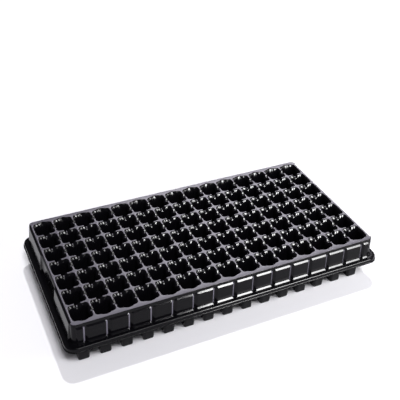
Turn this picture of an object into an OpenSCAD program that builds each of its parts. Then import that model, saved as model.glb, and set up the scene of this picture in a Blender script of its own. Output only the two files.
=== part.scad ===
// Plug tray for raising seedlings: one formed sheet with a grid of tapered
// cells, a panelled skirt round the outside and a stepped stacking rim.
// Millimetres. The origin is on the floor under the middle of the tray,
// +X runs along the length and +Z is up.

/* [Tray] */
// overall length over the rim flange
tray_length = 540; // [480:1:620]
// overall width over the rim flange
tray_width = 280; // [240:1:340]
// cells along the length
columns = 15; // [8:1:18]
// cells across the width
rows = 7; // [4:1:9]
// thickness of the deck, skirt and rim
sheet = 0.9; // [0.6:0.05:1.4]
// flat deck outside the end columns
end_border = 2.2; // [1:0.1:10]
// flat deck outside the long rows
side_border = 4.9; // [2:0.1:14]
// rounding of the deck's corners in plan
deck_corner = 5; // [5:0.5:13]

/* [Cells] */
// height of the deck above the floor
cell_depth = 86; // [50:1:110]
// web between two cells at the deck
web = 2.4; // [2.2:0.1:6]
// thickness of a cell's walls, thinner because they are drawn down
cell_wall = 0.6; // [0.4:0.05:1]
// how far each wall leans in from the mouth to the foot
wall_lean = 7.5; // [5:0.1:9]
// inside rounding of a cell's corners at the mouth
mouth_corner = 5; // [3:0.1:8]
// drain hole through each foot
drain_diameter = 8; // [4:0.5:12]
// saddle between two neighbouring cells, across the top
saddle_width = 9.6; // [9:0.1:12]
// saddle between two neighbouring cells, from the deck down
saddle_depth = 4.4; // [2:0.1:4.4]

/* [Skirt] */
// drop from the deck to the underside of the flange
skirt_drop = 42.5; // [30:0.5:48]
// outward lean of the skirt wall
skirt_lean = 0.8; // [0.5:0.1:5]
// rounding where the deck turns down
edge_round = 0.6; // [0.3:0.1:1.2]
// how far the panels stand out from the grooves
panel_proud = 2.2; // [1.2:0.1:4]
// drop from the deck to the top of the panels
panel_top = 6.2; // [2:0.1:7]
// drop from the deck to the face of the panels, below their sloping shoulder
face_top = 8.2; // [7.2:0.1:10]
// slope at the foot of the panels, out and down
panel_flare = 2.1; // [1:0.1:3]
// groove between two panels
groove_width = 4; // [2.5:0.1:8]
// finger recess in the middle of each end
recess_width = 82; // [50:1:120]

/* [Rim] */
// height of the rim, from its ledge to the underside of the flange
rim_height = 7.1; // [4.5:0.1:14]
// flat ledge at the foot of the panels
ledge_flat = 4.4; // [1:0.1:6]
// slope that breaks the ledge's outer edge, out and down
rim_edge = 1; // [0.4:0.1:2]
// outward run of the band below the ledge
band_run = 0.2; // [0.1:0.1:1]
// flange outside the rim
flange_width = 1.2; // [1:0.1:3]

/* [Hidden] */
$fn = 32;
black = [0.06, 0.06, 0.065];
rim_black = [0.09, 0.09, 0.095];
satin = [0.13, 0.13, 0.14];
over = 1;
least_corner = 0.5;

// outline of the skirt, outwards from the deck's edge and down from the deck
ledge_z = rim_height - skirt_drop;
foot_run = edge_round + skirt_lean + panel_proud + panel_flare;
ledge_run = foot_run + sheet + ledge_flat;
rim_run = ledge_run + rim_edge + band_run;
skirt_run = rim_run + flange_width;

// deck and cell grid in plan
deck_x = tray_length / 2 - skirt_run;
deck_y = tray_width / 2 - skirt_run;
grid_x = deck_x - end_border;
grid_y = deck_y - side_border;
pitch_x = 2 * grid_x / columns;
pitch_y = 2 * grid_y / rows;
corner_limit = end_border + side_border + sqrt(2 * end_border * side_border);
corner_r = min(max(deck_corner, end_border, side_border), 0.98 * corner_limit);
run_x = deck_x - corner_r;
run_y = deck_y - corner_r;

// one cell: the centres of its corner roundings and of its saddles
corner_x = (pitch_x - web) / 2 - mouth_corner;
corner_y = (pitch_y - web) / 2 - mouth_corner;
saddle_r = (pow(saddle_width / 2, 2) + pow(saddle_depth, 2)) / (2 * saddle_depth);
saddle_z = cell_depth - saddle_depth + saddle_r;
saddle_reach = web / 2 + wall_lean;

function two_digits(n) = str(n < 10 ? "0" : "", n);
function cells_name(c, odd) = str("column_", two_digits(c), odd ? "_odd_cells" : "_even_cells");
function column_x(c) = (c - (columns + 1) / 2) * pitch_x;
function row_y(r) = (r - (rows + 1) / 2) * pitch_y;
function rounding_at(z, grow) = mouth_corner + grow - wall_lean * (1 - z / cell_depth);
// height at which a cell's corners run out to sharp edges
function sharp_below(grow) = cell_depth * (1 - (mouth_corner + grow - least_corner) / wall_lean);

// how far the wall in a groove has leaned out at a drop below the deck
function groove_run(drop) = edge_round + skirt_lean * (drop - edge_round) / (-ledge_z - edge_round);
// the skirt's outer line in a groove and over a panel
function groove_line(border) = [
    [-border, 0],
    [0, 0],
    [edge_round, -edge_round],
    [edge_round + skirt_lean, ledge_z],
    [foot_run, ledge_z]
];
function panel_line(border) = [
    [-border, 0],
    [0, 0],
    [edge_round, -edge_round],
    [groove_run(panel_top), -panel_top],
    [groove_run(face_top) + panel_proud, -face_top],
    [foot_run - panel_flare, ledge_z + panel_flare],
    [foot_run, ledge_z]
];
// the rim's outer line, from the foot of the skirt to the flange
rim_line = [
    [foot_run, ledge_z],
    [ledge_run, ledge_z],
    [ledge_run + rim_edge, ledge_z - rim_edge],
    [rim_run, sheet - skirt_drop],
    [skirt_run, sheet - skirt_drop]
];

// the sheet between a front line and the back of another line, with upright ends
function band(front, back) = concat(
    front,
    [front[len(front) - 1] - [0, sheet]],
    [for (i = [len(back) - 2:-1:1]) back[i] - [sheet, sheet]],
    [front[0] - [0, sheet]]
);
function sheet_band(line) = band(line, line);
function shifted(line, run) = [for (p = line) p + [run, 0]];
function without_first(line) = [for (i = [1:len(line) - 1]) line[i]];

// the inside or the outside of a cell: round corners at the mouth, sharp towards the foot
module taper(grow, z0, z1) {
    bend_z = max(z0, sharp_below(grow));
    for (turn = [0:3])
        corner_cone(turn, grow, bend_z, z1);
    taper_prism(grow, bend_z, z1, 0, corner_y);
    taper_prism(grow, bend_z, z1, 1, corner_x);
    if (bend_z > z0)
        intersection() {
            taper_prism(grow, z0, bend_z, 0, pitch_y);
            taper_prism(grow, z0, bend_z, 1, pitch_x);
        }
}

module corner_cone(turn, grow, z0, z1) {
    r0 = rounding_at(z0, grow);
    r1 = rounding_at(z1, grow);
    sx = (turn == 0 || turn == 3) ? 1 : -1;
    sy = turn < 2 ? 1 : -1;
    translate([sx * corner_x, sy * corner_y, 0])
        rotate([0, 0, 90 * turn])
            rotate_extrude(angle = 90)
                polygon([[0, z0], [r0, z0], [r1, z1], [0, z1]]);
}

// two opposite walls of the taper, across X at turn 0 and across Y at turn 1
module taper_prism(grow, z0, z1, turn, half_length) {
    reach = turn == 0 ? corner_x : corner_y;
    low = reach + rounding_at(z0, grow);
    high = reach + rounding_at(z1, grow);
    rotate([90, 0, 90 * turn])
        linear_extrude(2 * half_length, center = true)
            polygon([[-low, z0], [low, z0], [high, z1], [-high, z1]]);
}

// a round bar across the web on one side of a cell, at the saddle's height
module saddle_bar(turn, grow, past) {
    reach = (turn % 2 == 0 ? pitch_x : pitch_y) / 2;
    rotate([0, 0, 90 * turn])
        translate([reach - saddle_reach, 0, saddle_z])
            rotate([0, 90, 0])
                cylinder(r = saddle_r + grow, h = saddle_reach + past);
}

// one cell with its square of deck; sides lists the turns that have a neighbour
module cell(sides) {
    difference() {
        union() {
            translate([-pitch_x / 2, -pitch_y / 2, cell_depth - sheet])
                cube([pitch_x, pitch_y, sheet]);
            taper(cell_wall, 0, cell_depth);
            intersection() {
                union()
                    for (turn = sides)
                        saddle_bar(turn, sheet, 0);
                translate([-pitch_x / 2, -pitch_y / 2, 0])
                    cube([pitch_x, pitch_y, cell_depth]);
            }
        }
        taper(0, cell_wall, cell_depth + over);
        for (turn = sides)
            saddle_bar(turn, 0, over);
        translate([0, 0, -over])
            cylinder(d = drain_diameter, h = cell_wall + 2 * over);
    }
}

// every second cell of a column, counted from the front
module column_cells(c, odd) {
    across = concat(c < columns ? [0] : [], c > 1 ? [2] : []);
    color(black)
        for (r = [odd ? 1 : 2:2:rows])
            translate([column_x(c), row_y(r), 0])
                cell(concat(across, r < rows ? [1] : [], r > 1 ? [3] : []));
}

// puts a side's outline on the deck's edge, facing outwards
module on_side(turn) {
    reach = turn % 2 == 0 ? deck_x : deck_y;
    rotate([0, 0, 90 * turn])
        translate([reach, 0, cell_depth])
            children();
}

// one outline run along a side
module run(outline, start, end) {
    translate([0, end, 0])
        rotate([90, 0, 0])
            linear_extrude(end - start)
                polygon(outline);
}

// a hollow panel with its two side webs
module panel(border, start, end) {
    side_web = band(panel_line(border), groove_line(border));
    run(sheet_band(panel_line(border)), start, end);
    run(side_web, start, start + sheet);
    run(side_web, end - sheet, end);
}

// every second panel of a long side with half a groove on each hand
module long_panels(odd) {
    stops = concat([-run_x], [for (c = [1:columns]) column_x(c)], [run_x]);
    for (i = [odd ? 0 : 1:2:columns]) {
        start = stops[i] + (i == 0 ? 0 : groove_width / 2);
        end = stops[i + 1] - (i == columns ? 0 : groove_width / 2);
        panel(side_border, start, end);
        if (i > 0)
            run(sheet_band(groove_line(side_border)), stops[i], start);
        if (i < columns)
            run(sheet_band(groove_line(side_border)), end, stops[i + 1]);
    }
}

module front_odd_panels() {
    color(satin)
        on_side(-1)
            long_panels(true);
}

module front_even_panels() {
    color(satin)
        on_side(-1)
            long_panels(false);
}

module rear_odd_panels() {
    color(satin)
        on_side(1)
            long_panels(true);
}

module rear_even_panels() {
    color(satin)
        on_side(1)
            long_panels(false);
}

module left_end_skirt() {
    color(satin)
        on_side(2)
            end_skirt();
}

module right_end_skirt() {
    color(satin)
        on_side(0)
            end_skirt();
}

// two wide bosses with the finger recess between them
module end_skirt() {
    panel(end_border, -run_y, -recess_width / 2);
    panel(end_border, recess_width / 2, run_y);
    run(sheet_band(groove_line(end_border)), -recess_width / 2, recess_width / 2);
}

// a quarter turn of skirt and rim with its corner of the deck
module corner(turn) {
    odd = abs(turn) % 2 == 1;
    line = concat(groove_line(corner_r), without_first(rim_line));
    rotate([0, 0, 90 * turn])
        translate([odd ? run_y : run_x, odd ? run_x : run_y, cell_depth])
            difference() {
                rotate_extrude(angle = 90)
                    polygon(sheet_band(shifted(line, corner_r)));
                translate([-over, -over, -sheet - over])
                    cube([
                        corner_r - (odd ? side_border : end_border) + over,
                        corner_r - (odd ? end_border : side_border) + over,
                        sheet + 2 * over
                    ]);
            }
}

module rear_right_corner() {
    color(satin)
        corner(0);
}

module rear_left_corner() {
    color(satin)
        corner(1);
}

module front_left_corner() {
    color(satin)
        corner(2);
}

module front_right_corner() {
    color(satin)
        corner(3);
}

module rim(half) {
    color(rim_black)
        run(sheet_band(rim_line), -half, half);
}

module front_rim() {
    on_side(-1)
        rim(run_x);
}

module rear_rim() {
    on_side(1)
        rim(run_x);
}

module left_rim() {
    on_side(2)
        rim(run_y);
}

module right_rim() {
    on_side(0)
        rim(run_y);
}

for (c = [1:columns], odd = [true, false])
    column_cells(c, odd);
front_odd_panels();
front_even_panels();
rear_odd_panels();
rear_even_panels();
left_end_skirt();
right_end_skirt();
front_left_corner();
front_right_corner();
rear_left_corner();
rear_right_corner();
front_rim();
rear_rim();
left_rim();
right_rim();
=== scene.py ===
import math
import bpy
import bmesh
from mathutils import Matrix, Vector


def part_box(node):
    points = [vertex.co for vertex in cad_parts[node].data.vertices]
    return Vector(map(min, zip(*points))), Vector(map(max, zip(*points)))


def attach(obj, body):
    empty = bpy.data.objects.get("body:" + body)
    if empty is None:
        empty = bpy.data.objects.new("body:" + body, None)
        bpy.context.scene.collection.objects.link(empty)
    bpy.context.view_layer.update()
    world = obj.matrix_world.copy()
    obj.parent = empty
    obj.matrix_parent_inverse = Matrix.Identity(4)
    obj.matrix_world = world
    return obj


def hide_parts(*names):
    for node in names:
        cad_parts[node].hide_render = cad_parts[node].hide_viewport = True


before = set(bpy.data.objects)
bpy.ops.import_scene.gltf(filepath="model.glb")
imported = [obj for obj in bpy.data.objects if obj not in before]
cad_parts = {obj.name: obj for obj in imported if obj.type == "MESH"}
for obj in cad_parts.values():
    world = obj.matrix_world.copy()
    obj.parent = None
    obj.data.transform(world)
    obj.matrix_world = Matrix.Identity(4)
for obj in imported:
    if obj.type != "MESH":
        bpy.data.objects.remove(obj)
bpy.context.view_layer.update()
print("frame loaded:", len(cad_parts), "nodes")

mm = 0.001
near = 1e-6         # lengths under this count as none
sharpFold = math.radians(48)


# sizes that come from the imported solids
def readTray():
    tray = {"columns": 15, "rows": 7}
    firstLow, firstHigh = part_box("column_01_odd_cells")
    panelLow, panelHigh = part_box("rear_odd_panels")
    endLow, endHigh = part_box("right_end_skirt")
    rimLow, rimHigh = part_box("rear_rim")
    tray["deckZ"] = firstHigh.z
    tray["gridX"] = endLow.x
    tray["gridY"] = panelLow.y
    tray["pitchX"] = 2 * endLow.x / tray["columns"]
    tray["pitchY"] = 2 * panelLow.y / tray["rows"]
    tray["runX"] = rimHigh.x
    tray["runY"] = endHigh.y
    tray["footX"] = endHigh.x
    tray["footY"] = panelHigh.y
    tray["ledgeZ"] = rimHigh.z - firstHigh.z
    tray["flangeZ"] = rimLow.z - firstHigh.z
    return tray


tray = readTray()


def columnX(column):
    return (column - (tray["columns"] + 1) / 2) * tray["pitchX"]


def rowY(row):
    return (row - (tray["rows"] + 1) / 2) * tray["pitchY"]


# finishes

class Signal:
    # one shader value: sums on it add Math nodes
    def __init__(self, finish, socket):
        self.finish = finish
        self.socket = socket

    def math(self, operation, first, second=None):
        sockets = {0: first}
        if second is not None:
            sockets[1] = second
        return self.finish.add("Math", {"operation": operation}, sockets)

    def __add__(self, other):
        return self.math("ADD", self, other)

    def __radd__(self, other):
        return self.math("ADD", other, self)

    def __sub__(self, other):
        return self.math("SUBTRACT", self, other)

    def __rsub__(self, other):
        return self.math("SUBTRACT", other, self)

    def __mul__(self, other):
        return self.math("MULTIPLY", self, other)

    def __rmul__(self, other):
        return self.math("MULTIPLY", other, self)

    def __truediv__(self, other):
        return self.math("DIVIDE", self, other)

    def __abs__(self):
        return self.math("ABSOLUTE", self)

    def sign(self):
        return self.math("SIGN", self)

    def fraction(self):
        return self.math("FRACT", self)

    def over(self, fade):
        # from 0 to 1 as the value rises from 0 to the fade
        return self.finish.add("Clamp", {}, {"Value": self / fade})


class Finish:
    # a node tree with one way to add any node
    def __init__(self, owner):
        owner.use_nodes = True
        self.tree = owner.node_tree
        self.tree.nodes.clear()

    def add(self, kind, settings, sockets, out=0):
        made = self.tree.nodes.new("ShaderNode" + kind)
        for key, value in settings.items():
            setattr(made, key, value)
        for key, value in sockets.items():
            if isinstance(value, Signal):
                self.tree.links.new(value.socket, made.inputs[key])
            else:
                made.inputs[key].default_value = value
        return Signal(self, made.outputs[out]) if len(made.outputs) else made


polystyrene = {
    "black": (0.003, 0.0028, 0.0038, 1),
    "satin": (0.092, 0.086, 0.106, 1),      # painted sheen: a paler lavender on the up-facing deck and webs
    "paintedReflection": (0.17, 0.16, 0.20, 1),        # painted reflection: a pale lavender band along one edge of each long-side panel
    "gloss": 0.10,
    "smearRough": 0.06,                     # what the smears add to it
    "satinRough": 0.36,
    "index": 1.2,
    "orangePeel": 700,
    "peelDetail": 2,
    "peelStrength": 0.12,
    "peelHeight": 0.15 * mm,
    "smear": 22,
    "smearDetail": 5,
    "fade": 1 * mm,                         # how softly the marks below end
    "sheenDepth": 6 * mm,                   # from the deck down into the saddles
    "sheenLevel": 0.93,                     # how level a face is where the painted sheen and the satin roughness start
    "sheenLevelFade": 0.05,
    "sheenShare": (0.62, 0.76),             # even part, and what the smears add
    "reflectionMiddle": 2.4 * mm,                  # from the middle of a groove
    "reflectionHalf": 1.9 * mm,
    "reflectionBehind": 4.2 * mm,                  # from the panels' foot back to their face
    "reflectionBehindFade": 0.3 * mm,
    "reflectionFoot": 1.5 * mm,                    # above the ledge
    "reflectionTop": 6 * mm,                       # below the deck
    "reflectionShare": (0.35, 0.9),
}


def makePolystyrene():
    material = bpy.data.materials.new("blackPolystyrene")
    finish = Finish(material)
    place = finish.add("TexCoord", {}, {}, "Object")
    facing = finish.add("TexCoord", {}, {}, "Normal")
    x = finish.add("SeparateXYZ", {}, {0: place}, "X")
    y = finish.add("SeparateXYZ", {}, {0: place}, "Y")
    z = finish.add("SeparateXYZ", {}, {0: place}, "Z")
    up = finish.add("SeparateXYZ", {}, {0: facing}, "Z")
    peel = finish.add("TexNoise", {}, {
        "Vector": place,
        "Scale": polystyrene["orangePeel"],
        "Detail": polystyrene["peelDetail"],
    }, "Fac")
    smear = finish.add("TexNoise", {}, {
        "Vector": place,
        "Scale": polystyrene["smear"],
        "Detail": polystyrene["smearDetail"],
    }, "Fac")
    fade = polystyrene["fade"]

    # where the deck and the webs face up they are rougher, and get a painted sheen: a paler lavender colour
    # that stands in for reflected light
    high = (z - (tray["deckZ"] - polystyrene["sheenDepth"])).over(fade)
    top = (up - polystyrene["sheenLevel"]).over(polystyrene["sheenLevelFade"]) * high
    even, uneven = polystyrene["sheenShare"]
    sheenMask = top * (even + uneven * smear)

    # one edge of each long-side panel gets a painted reflection: a pale lavender band on the same side of
    # every groove
    along = 0 - x * y.sign()
    fromGroove = ((along / tray["pitchX"] + 0.5).fraction() - 0.5) * tray["pitchX"]
    edge = (polystyrene["reflectionHalf"] - abs(fromGroove + polystyrene["reflectionMiddle"])).over(fade)
    outside = (abs(y) - (tray["footY"] - polystyrene["reflectionBehind"])).over(polystyrene["reflectionBehindFade"])
    above = (z - (tray["deckZ"] + tray["ledgeZ"] + polystyrene["reflectionFoot"])).over(fade)
    below = ((tray["deckZ"] - polystyrene["reflectionTop"]) - z).over(fade)
    even, uneven = polystyrene["reflectionShare"]
    paintedReflection = edge * outside * above * below * (even + uneven * smear)

    # the painted sheen is mixed into the black, then the painted reflection along the panel edges
    colour = finish.add("Mix", {"data_type": "RGBA"}, {
        0: sheenMask,
        6: polystyrene["black"],
        7: polystyrene["satin"],
    }, 2)
    colour = finish.add("Mix", {"data_type": "RGBA"}, {
        0: paintedReflection,
        6: colour,
        7: polystyrene["paintedReflection"],
    }, 2)
    rough = polystyrene["gloss"] + polystyrene["smearRough"] * smear
    rough = rough + top * (polystyrene["satinRough"] - polystyrene["gloss"])
    bump = finish.add("Bump", {}, {
        "Strength": polystyrene["peelStrength"],
        "Distance": polystyrene["peelHeight"],
        "Height": peel,
    })
    shader = finish.add("BsdfPrincipled", {}, {
        "Base Color": colour,
        "Roughness": rough,
        "IOR": polystyrene["index"],
        "Normal": bump,
    })
    finish.add("OutputMaterial", {}, {"Surface": shader})
    return material


blackPolystyrene = makePolystyrene()
print("finishes made")


# helpers for the formed sheet

def roundedLine(points, radii, steps):
    # a line of points whose corners are arcs
    line = [Vector(points[0])]
    for before, corner, after, radius in zip(points, points[1:], points[2:], radii):
        corner = Vector(corner)
        inward = (Vector(before) - corner).normalized()
        outward = (Vector(after) - corner).normalized()
        half = inward.angle(outward) / 2
        reach = radius / math.tan(half)
        centre = corner + (inward + outward).normalized() * radius / math.sin(half)
        start = corner + inward * reach - centre
        end = corner + outward * reach - centre
        for step in range(steps + 1):
            line.append(centre + start.normalized().slerp(end.normalized(), step / steps) * radius)
    line.append(Vector(points[-1]))
    return line


def thicken(bm, thickness):
    # an open sheet's deck faces up, and the sheet grows from there
    bmesh.ops.recalc_face_normals(bm, faces=bm.faces)
    areaWeight = 0.001      # of two faces as high, the larger one
    top = max(bm.faces, key=lambda face: face.calc_center_median().z + areaWeight * face.calc_area())
    if top.normal.z < 0:
        bmesh.ops.reverse_faces(bm, faces=bm.faces)
    bmesh.ops.solidify(bm, geom=bm.faces[:], thickness=thickness)


def addPiece(name, bm, nodes):
    mesh = bpy.data.meshes.new("formed_" + name)
    bm.to_mesh(mesh)
    bm.free()
    mesh.shade_smooth()
    mesh.set_sharp_from_angle(angle=sharpFold)
    mesh.materials.append(blackPolystyrene)
    piece = bpy.data.objects.new("formed_" + name, mesh)
    bpy.context.scene.collection.objects.link(piece)
    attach(piece, "root")
    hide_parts(*nodes)


# cells

cells = {
    "web": 2.4 * mm,
    "outerWeb": 1.7 * mm,               # beside the skirt
    "outerReach": 15 * mm,              # how far down an outer mouth differs, fading to nothing
    "outerFull": 1.3,                   # over 1: in full at the top
    "outerEnds": 3,                     # how steeply that fades towards the mouth's corners
    "mouthCorner": 5 * mm,
    "cornerCuts": 6,
    "sideCuts": 23,
    "lean": 7.5 * mm,
    # the lip's funnel, as millimetres in and down from the mouth's edge
    "funnel": ((0.9, 0.9), (2.0, 2.2), (3.0, 4.2), (3.7, 7.0), (4.1, 10.5)),
    "rings": (0.2, 0.45, 0.72, 1.0),    # heights of the wall's rings, as shares of the depth
    "wall": 0.6 * mm,
    "drain": 4 * mm,
    "saddleWidth": 10.8 * mm,
    "saddleDepth": 4.6 * mm,
    "saddleFullness": 0.85,
    "saddleReach": 14 * mm,             # how far down the wall follows the saddle
    "lipRound": 0.6 * mm,
    "footRound": 1.4 * mm,
    "roundCuts": 3,
    "flutes": 5,
    "fluteDepth": 0.5 * mm,
    "scallop": 2.6 * mm,                # how far an outer mouth bulges over the long sides
    "scallopHalf": 11 * mm,
    "borderNear": 0.1 * mm,
}
cellHalf = Vector((tray["pitchX"] / 2, tray["pitchY"] / 2))
cellMouth = cellHalf - Vector((cells["web"] / 2, cells["web"] / 2))
cellCorner = cellMouth - Vector((cells["mouthCorner"], cells["mouthCorner"]))
cellDepth = tray["deckZ"] - cells["wall"]
throat = cells["funnel"][-1][0] * mm


def scallop(across):
    return cells["scallop"] * (0.5 + 0.5 * math.cos(math.pi * min(1, abs(across) / cells["scallopHalf"])))


def saddleDip(across):
    # a round-shouldered notch
    if abs(across) >= cells["saddleWidth"] / 2:
        return 0
    wave = 0.5 + 0.5 * math.cos(2 * math.pi * across / cells["saddleWidth"])
    return cells["saddleDepth"] * wave ** cells["saddleFullness"]


def toBorder(place):
    # from the mouth's edge straight out to the border of the cell's square
    past = Vector((abs(place.x), abs(place.y))) - cellCorner
    sign = Vector((math.copysign(1, place.x), math.copysign(1, place.y)))
    if past.x <= near:
        return Vector((place.x, sign.y * cellHalf.y, place.z))
    if past.y <= near:
        return Vector((sign.x * cellHalf.x, place.y, place.z))
    grow = min((cellHalf.x - cellCorner.x) / past.x, (cellHalf.y - cellCorner.y) / past.y)
    return Vector((sign.x * (cellCorner.x + past.x * grow), sign.y * (cellCorner.y + past.y * grow), place.z))


def atBorder(place):
    return max(abs(place.x) - cellHalf.x, abs(place.y) - cellHalf.y) > -cells["borderNear"]


def wallOf(place, inset):
    # which wall a point belongs to, and its distance from that wall's middle
    if abs(place.x) > cellCorner.x - inset and abs(place.y) <= cellCorner.y - inset:
        return ("right" if place.x > 0 else "left"), place.y
    if abs(place.y) > cellCorner.y - inset and abs(place.x) <= cellCorner.x - inset:
        return ("rear" if place.y > 0 else "front"), place.x
    return None, 0


def pushIn(vert, wall, push):
    if wall in ("left", "right"):
        vert.co.x -= push * math.copysign(1, vert.co.x)
    else:
        vert.co.y -= push * math.copysign(1, vert.co.y)


def openMouth(bm):
    # a rounded square, and the deck from there to the cell's border
    bmesh.ops.create_grid(bm, x_segments=1, y_segments=1, size=0.5)
    bmesh.ops.scale(bm, vec=(2 * cellMouth.x, 2 * cellMouth.y, 1), verts=bm.verts)
    bmesh.ops.translate(bm, vec=(0, 0, tray["deckZ"]), verts=bm.verts)
    bmesh.ops.bevel(bm, geom=bm.verts[:], offset=cells["mouthCorner"], offset_type="OFFSET",
                    affect="VERTICES", segments=cells["cornerCuts"], profile=0.5, material=-1)
    straight = [edge for edge in bm.edges if edge.calc_length() > cellCorner.x]
    bmesh.ops.subdivide_edges(bm, edges=straight, cuts=cells["sideCuts"])
    mouthLoop = bm.verts[:]
    grown = bmesh.ops.extrude_edge_only(bm, edges=bm.edges[:])
    for item in grown["geom"]:
        if isinstance(item, bmesh.types.BMVert):
            item.co = toBorder(item.co)
    return mouthLoop


def dropWalls(bm):
    # a funnel, then walls, ring by ring down to the foot and its drain hole
    levels = [(down * mm, inset * mm) for inset, down in cells["funnel"]]
    for share in cells["rings"]:
        levels.append((share * cellDepth, throat + (cells["lean"] - throat) * share))
    bottom = max(bm.faces, key=lambda face: len(face.verts))
    rings = []
    reach = cellMouth.copy()
    level = 0
    for drop, inset in levels:
        bottom = bmesh.ops.extrude_discrete_faces(bm, faces=[bottom])["faces"][0]
        target = cellMouth - Vector((inset, inset))
        bmesh.ops.scale(bm, vec=(target.x / reach.x, target.y / reach.y, 1), verts=bottom.verts[:])
        bmesh.ops.translate(bm, vec=(0, 0, level - drop), verts=bottom.verts[:])
        reach = target
        level = drop
        rings.append((bottom.verts[:], inset))
    hole = bmesh.ops.extrude_discrete_faces(bm, faces=[bottom])["faces"][0]
    for vert in hole.verts:
        vert.co.xy = vert.co.xy.normalized() * cells["drain"]
    bmesh.ops.delete(bm, geom=[hole], context="FACES_ONLY")
    return rings


def fluteWalls(rings):
    # down the front and rear walls, fading out towards the lip and the foot
    for ring, inset in rings:
        fade = min(inset / throat, (cells["lean"] - inset) / (cells["lean"] - throat))
        for vert in ring:
            wall, across = wallOf(vert.co, inset)
            if wall in ("front", "rear"):
                turns = cells["flutes"] * (across / (cellCorner.x - inset) + 1) / 2
                wave = 0.5 - 0.5 * math.cos(2 * math.pi * turns)
                pushIn(vert, wall, cells["fluteDepth"] * fade * wave)


def roundLoop(bm, loop, size):
    inLoop = set(loop)
    edges = [edge for edge in bm.edges if edge.verts[0] in inLoop and edge.verts[1] in inLoop]
    bmesh.ops.bevel(bm, geom=edges, offset=size, offset_type="OFFSET", affect="EDGES",
                    segments=cells["roundCuts"], profile=0.5, material=-1, clamp_overlap=False)


def sinkSaddles(bm, neighbours):
    # on the sides that have a neighbour, drawn down from the deck and the lip
    for vert in bm.verts:
        wall, across = wallOf(vert.co, throat)
        if wall in neighbours:
            dip = saddleDip(across) * max(0, 1 - (tray["deckZ"] - vert.co.z) / cells["saddleReach"])
            vert.co.z -= dip
            if not atBorder(vert.co):
                pushIn(vert, wall, cells["lean"] * dip / cellDepth)


def fitOuterMouth(bm, neighbours):
    # beside the skirt the web is thinner, and the mouth bulges towards the long sides
    thinner = (cells["outerWeb"] - cells["web"]) / 2
    for vert in bm.verts:
        share = cells["outerFull"] - (tray["deckZ"] - vert.co.z) / cells["outerReach"]
        share = min(1, max(0, share))
        wall, across = wallOf(vert.co, throat)
        if wall is not None and wall not in neighbours and not atBorder(vert.co):
            span = cellCorner.y if wall in ("left", "right") else cellCorner.x
            pushIn(vert, wall, thinner * share * min(1, cells["outerEnds"] * (1 - abs(across) / span)))
        facing = "rear" if vert.co.y > 0 else "front"
        if facing not in neighbours and abs(vert.co.y) > cellCorner.y - throat:
            pushIn(vert, facing, -scallop(vert.co.x) * share)


def cellMesh(neighbours):
    bm = bmesh.new()
    mouthLoop = openMouth(bm)
    rings = dropWalls(bm)
    footLoop = rings[-1][0]
    fluteWalls(rings)
    roundLoop(bm, mouthLoop, cells["lipRound"])
    roundLoop(bm, footLoop, cells["footRound"])
    sinkSaddles(bm, neighbours)
    fitOuterMouth(bm, neighbours)
    thicken(bm, cells["wall"])
    mesh = bpy.data.meshes.new("cell")
    bm.to_mesh(mesh)
    bm.free()
    return mesh


def cellNeighbours(column, row):
    sides = {
        "left": column > 1,
        "right": column < tray["columns"],
        "front": row > 1,
        "rear": row < tray["rows"],
    }
    return frozenset(side for side, there in sides.items() if there)


def makeCells():
    shapes = {}         # cells with the same neighbours have one shape
    for column in range(1, tray["columns"] + 1):
        for name, first in (("odd", 1), ("even", 2)):
            bm = bmesh.new()
            for row in range(first, tray["rows"] + 1, 2):
                neighbours = cellNeighbours(column, row)
                if neighbours not in shapes:
                    shapes[neighbours] = cellMesh(neighbours)
                done = len(bm.verts)
                bm.from_mesh(shapes[neighbours])
                bm.verts.ensure_lookup_table()
                bmesh.ops.translate(bm, vec=(columnX(column), rowY(row), 0), verts=bm.verts[done:])
            node = "column_%02d_%s_cells" % (column, name)
            addPiece(node, bm, [node])
    for mesh in shapes.values():
        bpy.data.meshes.remove(mesh)
    print("cells made:", len(shapes), "shapes")


makeCells()


# skirt and rim, drawn as lines outwards from the deck's edge and down from the deck

skirt = {
    "sheet": 0.9 * mm,
    "edge": 0.6 * mm,
    "lean": 0.8 * mm,
    "deckRound": 0.45 * mm,
    "sideEdge": 2.1 * mm,       # how far the deck reaches out over the long sides
    "sideEdgeDrop": 1.4 * mm,
    "endEdge": -0.9 * mm,       # it stops short of the ends, where a slope leads to the bosses
    "cornerEdge": 1.1 * mm,
    "cornerRound": 0.6 * mm,
    "cornerCuts": 14,
    "proud": 2.2 * mm,
    "panelTop": 5.8 * mm,
    "panelRounds": (0.4 * mm, 0.5 * mm, 0.7 * mm),      # under the deck, then above and below the shoulder
    "flare": 2.1 * mm,
    "flareRound": 0.4,          # as a share of the flare
    "bossTop": 3.4 * mm,
    "bossRound": 0.6 * mm,
    "endProud": 0.8 * mm,       # the bosses at the ends lean out to their foot
    "endFlare": 0.6 * mm,
    "lap": 0.2 * mm,            # flat stretch at the foot, which meets the rim
    "lapRound": 0.1 * mm,
    "grooveFloor": 2.0 * mm,
    "flank": 2.3 * mm,
    "hollowTop": 0.4 * mm,      # where the hollows begin, above the top of the panels
    "recess": 82 * mm,
    "edgeRound": 0.7 * mm,
    "edgeCuts": 4,
    "fold": 15,                 # degrees past which an upright edge is rounded
    "scallopCuts": (0, 6, 7.5, 9, 11),      # millimetres from the middle of a mouth
    "arcSteps": 4,
}
rim = {
    "ledge": 6.3 * mm,
    "ledgeRound": 1.6 * mm,
    "band": 0.2 * mm,
    "flange": 1.2 * mm,
    "flangeRound": 0.5 * mm,
    "arcSteps": 6,
}
grooveRun = skirt["edge"] + skirt["lean"]
footRun = grooveRun + skirt["proud"] + skirt["flare"]
deckX = tray["footX"] - footRun
deckY = tray["footY"] - footRun
cornerRadius = deckX - tray["runX"]


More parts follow.
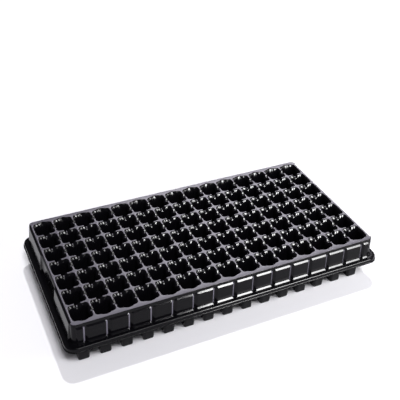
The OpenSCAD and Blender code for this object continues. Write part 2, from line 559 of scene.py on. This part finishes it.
def panelLine(border):
    flare = skirt["flare"]
    points = [
        (-border, 0),
        (skirt["sideEdge"], 0),
        (grooveRun, -skirt["sideEdgeDrop"]),
        (grooveRun, -skirt["panelTop"]),
        (grooveRun + skirt["proud"], -skirt["panelTop"] - skirt["proud"]),
        (footRun - flare, tray["ledgeZ"] + flare),
        (footRun - skirt["lap"], tray["ledgeZ"]),
        (footRun, tray["ledgeZ"]),
    ]
    radii = (skirt["deckRound"],) + skirt["panelRounds"] + (skirt["flareRound"] * flare, skirt["lapRound"])
    return roundedLine(points, radii, skirt["arcSteps"])


def bossLine(border):
    flare = skirt["endFlare"]
    points = [
        (-border, 0),
        (skirt["endEdge"], 0),
        (grooveRun + skirt["endProud"], -skirt["bossTop"]),
        (footRun - flare, tray["ledgeZ"] + flare),
        (footRun - skirt["lap"], tray["ledgeZ"]),
        (footRun, tray["ledgeZ"]),
    ]
    radii = (skirt["deckRound"], skirt["bossRound"], skirt["flareRound"] * flare, skirt["lapRound"])
    return roundedLine(points, radii, skirt["arcSteps"])


def rimLine():
    edge = footRun + rim["ledge"]
    flangeTop = tray["flangeZ"] + skirt["sheet"]
    points = [
        (footRun, tray["ledgeZ"]),
        (edge, tray["ledgeZ"]),
        (edge + rim["band"], flangeTop),
        (edge + rim["band"] + rim["flange"], flangeTop),
    ]
    return roundedLine(points, (rim["ledgeRound"], rim["flangeRound"]), rim["arcSteps"])


def startLine(bm, line, along):
    verts = [bm.verts.new((along, point.x, point.y)) for point in line]
    return [bm.edges.new(pair) for pair in zip(verts, verts[1:])]


def runAlong(bm, line, half):
    edges = startLine(bm, line, -half)
    grown = bmesh.ops.extrude_edge_only(bm, edges=edges)
    verts = [item for item in grown["geom"] if isinstance(item, bmesh.types.BMVert)]
    bmesh.ops.translate(bm, vec=(2 * half, 0, 0), verts=verts)


def setSide(bm, reach, turn):
    # from outwards-is-rear to its own side of the tray
    bmesh.ops.translate(bm, vec=(0, reach, tray["deckZ"]), verts=bm.verts)
    bmesh.ops.rotate(bm, cent=(0, 0, 0), matrix=Matrix.Rotation(math.radians(turn), 3, "Z"), verts=bm.verts)


def skirtCuts(form):
    # each edge of a panel has one more cut beside it, so that its rounding stays narrow
    steps = (skirt["flank"], skirt["flank"] + 2 * skirt["edgeRound"])
    cuts = [side * (form["half"] - step) for side in (-1, 1) for step in steps]
    for middle, floor in form["hollows"]:
        cuts += [middle + side * (floor / 2 + step) for side in (-1, 1) for step in (0,) + steps]
    if form["scalloped"]:
        for middle, floor in form["hollows"]:
            cuts += [middle + side * step * mm for side in (-1, 1) for step in skirt["scallopCuts"]]
    return cuts


def sinkHollows(bm, form):
    half = form["half"]
    floors = [(middle - floor / 2, middle + floor / 2) for middle, floor in form["hollows"]]
    floors += [(-half, -half), (half, half)]
    deckStart = form["line"][0].x
    for vert in bm.verts:
        low = vert.co.z < skirt["hollowTop"] - form["top"] and vert.co.y < footRun - near
        if low and any(start - near < vert.co.x < end + near for start, end in floors):
            vert.co.y = grooveRun
        if form["scalloped"] and abs(vert.co.y - deckStart) < near:
            vert.co.y += max(scallop(vert.co.x - middle) for middle, floor in form["hollows"])


def makeSkirt(name, nodes, form, turn):
    bm = bmesh.new()
    runAlong(bm, form["line"], form["half"])
    for cut in skirtCuts(form):
        bmesh.ops.bisect_plane(bm, geom=bm.verts[:] + bm.edges[:] + bm.faces[:], dist=near,
                               plane_co=(cut, 0, 0), plane_no=(1, 0, 0))
    sinkHollows(bm, form)
    upright = [
        edge for edge in bm.edges
        if len(edge.link_faces) == 2
        and abs(edge.verts[0].co.x - edge.verts[1].co.x) < near
        and edge.calc_face_angle(0) > math.radians(skirt["fold"])
    ]
    bmesh.ops.bevel(bm, geom=upright, offset=skirt["edgeRound"], offset_type="OFFSET", affect="EDGES",
                    segments=skirt["edgeCuts"], profile=0.5, material=-1, clamp_overlap=True)
    thicken(bm, skirt["sheet"])
    setSide(bm, form["reach"], turn)
    addPiece(name, bm, nodes)


def makeSkirts():
    panels = {
        "line": panelLine(deckY - tray["gridY"]),
        "half": tray["runX"],
        "reach": deckY,
        "hollows": [(columnX(column), skirt["grooveFloor"]) for column in range(1, tray["columns"] + 1)],
        "top": skirt["panelTop"],
        "scalloped": True,
    }
    bosses = {
        "line": bossLine(deckX - tray["gridX"]),
        "half": tray["runY"],
        "reach": deckX,
        "hollows": [(0, skirt["recess"] - 2 * skirt["flank"])],
        "top": skirt["bossTop"],
        "scalloped": False,
    }
    for side, turn in (("rear", 0), ("front", 180)):
        makeSkirt(side + "_panels", [side + "_odd_panels", side + "_even_panels"], panels, turn)
    for side, turn in (("left", 90), ("right", -90)):
        makeSkirt(side + "_end_skirt", [side + "_end_skirt"], bosses, turn)
    print("skirts made")


makeSkirts()


def makeRim(node, half, reach, turn):
    bm = bmesh.new()
    runAlong(bm, rimLine(), half)
    thicken(bm, skirt["sheet"])
    setSide(bm, reach, turn)
    addPiece(node, bm, [node])


def makeRims():
    makeRim("rear_rim", tray["runX"], deckY, 0)
    makeRim("front_rim", tray["runX"], deckY, 180)
    makeRim("left_rim", tray["runY"], deckX, 90)
    makeRim("right_rim", tray["runY"], deckX, -90)
    print("rims made")


makeRims()


def deckFaces(bm):
    return [face for face in bm.faces if abs(face.calc_center_median().z) < near]


def makeCorner(node, right, rear):
    skirtLine = roundedLine([
        (-cornerRadius, 0),
        (skirt["cornerEdge"], 0),
        (grooveRun, -skirt["panelTop"]),
        (grooveRun, tray["ledgeZ"]),
        (footRun, tray["ledgeZ"]),
    ], (skirt["deckRound"], skirt["cornerRound"], skirt["cornerRound"]), skirt["arcSteps"])
    line = [point + Vector((cornerRadius, 0)) for point in skirtLine[:-1] + rimLine()]
    bm = bmesh.new()
    edges = startLine(bm, line, 0)
    bmesh.ops.spin(bm, geom=bm.verts[:] + edges, cent=(0, 0, 0), axis=(0, 0, 1), angle=-math.pi / 2,
                   steps=skirt["cornerCuts"])
    bmesh.ops.remove_doubles(bm, verts=bm.verts, dist=near)

    # the corner cell's square is left out of the deck
    innerX = tray["gridX"] - tray["runX"]
    innerY = tray["gridY"] - tray["runY"]
    for place, way in (((innerX, 0, 0), (1, 0, 0)), ((0, innerY, 0), (0, 1, 0))):
        deck = deckFaces(bm)
        edges = list({edge for face in deck for edge in face.edges})
        verts = list({vert for face in deck for vert in face.verts})
        bmesh.ops.bisect_plane(bm, geom=verts + edges + deck, dist=near, plane_co=place, plane_no=way)
    covered = [
        face for face in deckFaces(bm)
        if face.calc_center_median().x < innerX and face.calc_center_median().y < innerY
    ]
    bmesh.ops.delete(bm, geom=covered, context="FACES")
    thicken(bm, skirt["sheet"])
    bmesh.ops.translate(bm, vec=(tray["runX"], tray["runY"], tray["deckZ"]), verts=bm.verts)
    bmesh.ops.scale(bm, vec=(right, rear, 1), verts=bm.verts)
    if right * rear < 0:
        bmesh.ops.reverse_faces(bm, faces=bm.faces)
    addPiece(node, bm, [node])


def makeCorners():
    for front, rear in (("front", -1), ("rear", 1)):
        for side, right in (("left", -1), ("right", 1)):
            makeCorner(front + "_" + side + "_corner", right, rear)
    print("corners made")


makeCorners()


# floor, light and camera

studio = {
    "floor": (0.92, 0.915, 0.935, 1),
    "floorReach": 4,
    "world": (0.97, 0.95, 1, 1),
    "ambient": 0.16,
    "white": (1, 1, 1),
    "lavender": (0.96, 0.93, 1),
    "cool": (0.97, 0.965, 1),
    "suns": {
        # name: (strength, colour, width in degrees, place)
        "keySun": (1.3, "white", 3, (0.15, 0.26, 1)),
        "frontSun": (2.2, "cool", 14, (-0.08, -0.7, 1)),
    },
    "fills": {
        # name: (power, colour, size, place, aim)
        "rightFill": (5, "white", (0.3, 0.3), (0.75, -0.75, 0.6), (0.2, -0.1, 0)),
    },
    "softboxes": {
        # name: (power, colour, size, place, aim, spread in degrees)
        "overheadSoftbox": (33, "white", (0.9, 0.6), (0.25, -0.45, 1.6), (0, 0, 0.08), 180),
        "rearSoftbox": (54, "lavender", (1.0, 0.9), (0.62, 1.0, 1.0), (0, 0, 0.08), 180),
        "frontRightSoftbox": (52, "white", (1.1, 0.85), (0.88, -0.92, 0.66), (0.62, 0.04, 0.05), 56),
        "rightSoftbox": (16, "white", (1.0, 0.5), (1.5, -0.1, 0.5), (0, 0, 0.08), 180),
    },
}


def makeFloor():
    bm = bmesh.new()
    bmesh.ops.create_grid(bm, x_segments=1, y_segments=1, size=studio["floorReach"])
    mesh = bpy.data.meshes.new("floor")
    bm.to_mesh(mesh)
    bm.free()
    floor = bpy.data.objects.new("floor", mesh)
    bpy.context.scene.collection.objects.link(floor)
    material = bpy.data.materials.new("paleFloor")
    finish = Finish(material)
    shader = finish.add("BsdfDiffuse", {}, {"Color": studio["floor"]})
    finish.add("OutputMaterial", {}, {"Surface": shader})
    mesh.materials.append(material)


def addLight(name, kind, power, colour, place, aim):
    data = bpy.data.lights.new(name, kind)
    data.energy = power
    data.color = studio[colour]
    light = bpy.data.objects.new(name, data)
    light.location = place
    light.rotation_euler = (Vector(aim) - Vector(place)).to_track_quat("-Z", "Y").to_euler()
    bpy.context.scene.collection.objects.link(light)
    return light


def addArea(name, power, colour, size, place, aim):
    light = addLight(name, "AREA", power, colour, place, aim)
    light.data.shape = "RECTANGLE"
    light.data.size, light.data.size_y = size
    return light


# suns and fills light the colours and the floor, and softboxes show in the gloss
def makeSun(name, strength, colour, width, place):
    light = addLight(name, "SUN", strength, colour, place, (0, 0, 0))
    light.data.angle = math.radians(width)
    light.visible_glossy = False


def makeFill(name, power, colour, size, place, aim):
    light = addArea(name, power, colour, size, place, aim)
    light.visible_glossy = False


def makeSoftbox(name, power, colour, size, place, aim, spread):
    light = addArea(name, power, colour, size, place, aim)
    light.data.spread = math.radians(spread)
    light.visible_diffuse = False


def makeLights():
    for name, settings in studio["suns"].items():
        makeSun(name, *settings)
    for name, settings in studio["fills"].items():
        makeFill(name, *settings)
    for name, settings in studio["softboxes"].items():
        makeSoftbox(name, *settings)


def makeWorld():
    world = bpy.data.worlds.new("studio")
    finish = Finish(world)
    shader = finish.add("Background", {}, {"Color": studio["world"], "Strength": studio["ambient"]})
    finish.add("OutputWorld", {}, {"Surface": shader})
    bpy.context.scene.world = world


makeFloor()
makeLights()
makeWorld()
print("floor and lights made")

view = {
    "sensor": 36,
    "lens": 66.232,
    "place": (-0.43643, -0.88908, 0.75883),     # from the middle of the deck
    "aim": (0.19797, 0.42957, 0),
    "roll": 2.003,
    "shift": -0.25,                             # the view's middle is above the picture's
}


def makeCamera():
    data = bpy.data.cameras.new("photoView")
    data.sensor_width = view["sensor"]
    data.lens = view["lens"]
    data.shift_y = view["shift"]
    camera = bpy.data.objects.new("photoView", data)
    place = Vector(view["place"]) + Vector((0, 0, tray["deckZ"]))
    aim = Vector(view["aim"]) + Vector((0, 0, tray["deckZ"]))
    turn = (aim - place).to_track_quat("-Z", "Y").to_matrix().to_4x4()
    roll = Matrix.Rotation(math.radians(view["roll"]), 4, "Z")
    camera.matrix_world = Matrix.Translation(place) @ turn @ roll
    bpy.context.scene.collection.objects.link(camera)
    bpy.context.scene.camera = camera


makeCamera()
bpy.context.scene.view_settings.view_transform = "Standard"
print("camera set")
